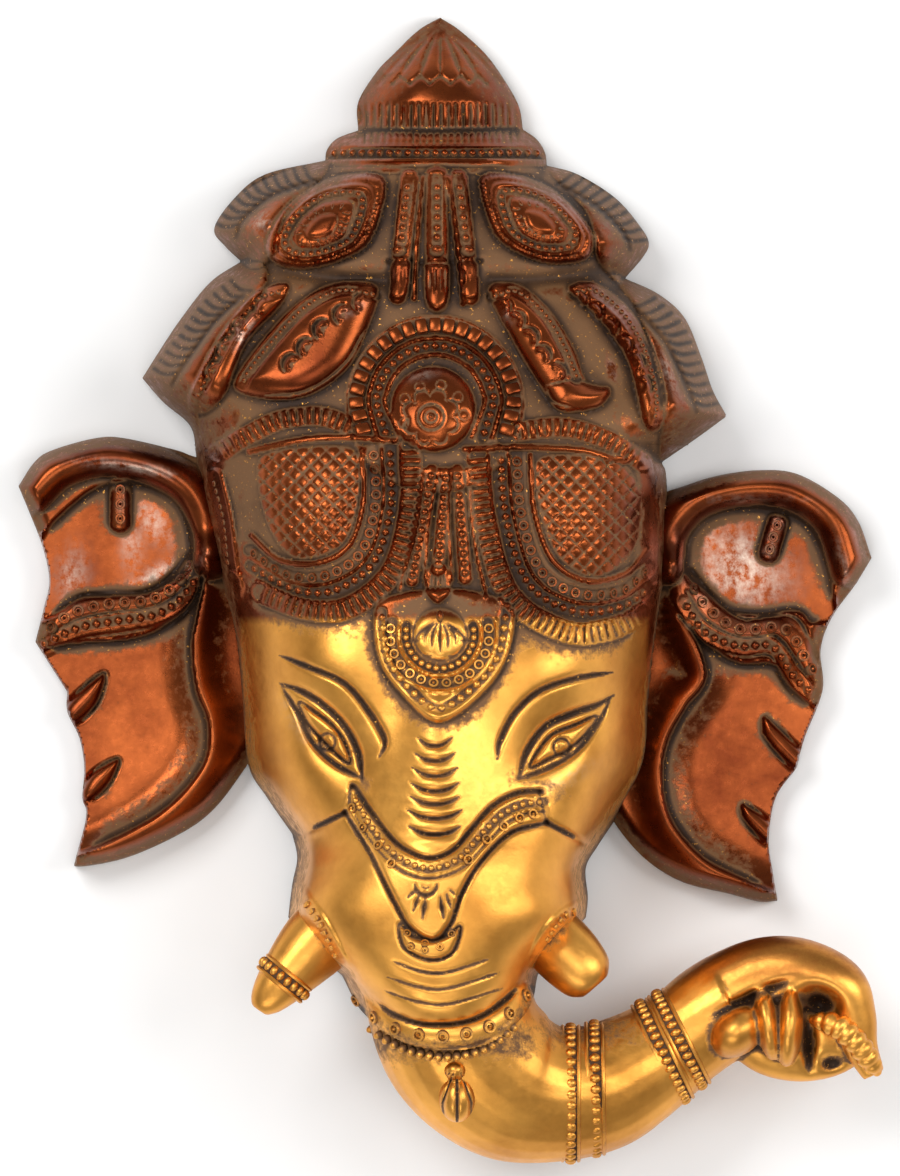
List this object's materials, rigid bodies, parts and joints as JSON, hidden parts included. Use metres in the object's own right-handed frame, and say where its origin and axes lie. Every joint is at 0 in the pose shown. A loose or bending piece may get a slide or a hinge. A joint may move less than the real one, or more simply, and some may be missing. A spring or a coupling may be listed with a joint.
{
  "type": "ganesha mask",
  "caption": "Cast brass elephant-headed wall mask with tiered crown, patterned ears, tusks and a trunk curling to one side; hollow open back, lies face up on its rim.",
  "frame": {"origin": "middle of the bounding box at the back plane, which is the flat rim the mask lies on", "axes": "+Z out of the face, +Y from the chin up to the crown's tip, +X to the right of someone who looks at the face"},
  "size_m": [0.2306, 0.3058, 0.0824],
  "materials": {
    "aged_brass": "polished high spots over dark patina: red-brown crown and ears, golden face"
  },
  "bodies": {
    "root": {"ganesha_mask": "aged_brass"}
  },
  "joints": []
}
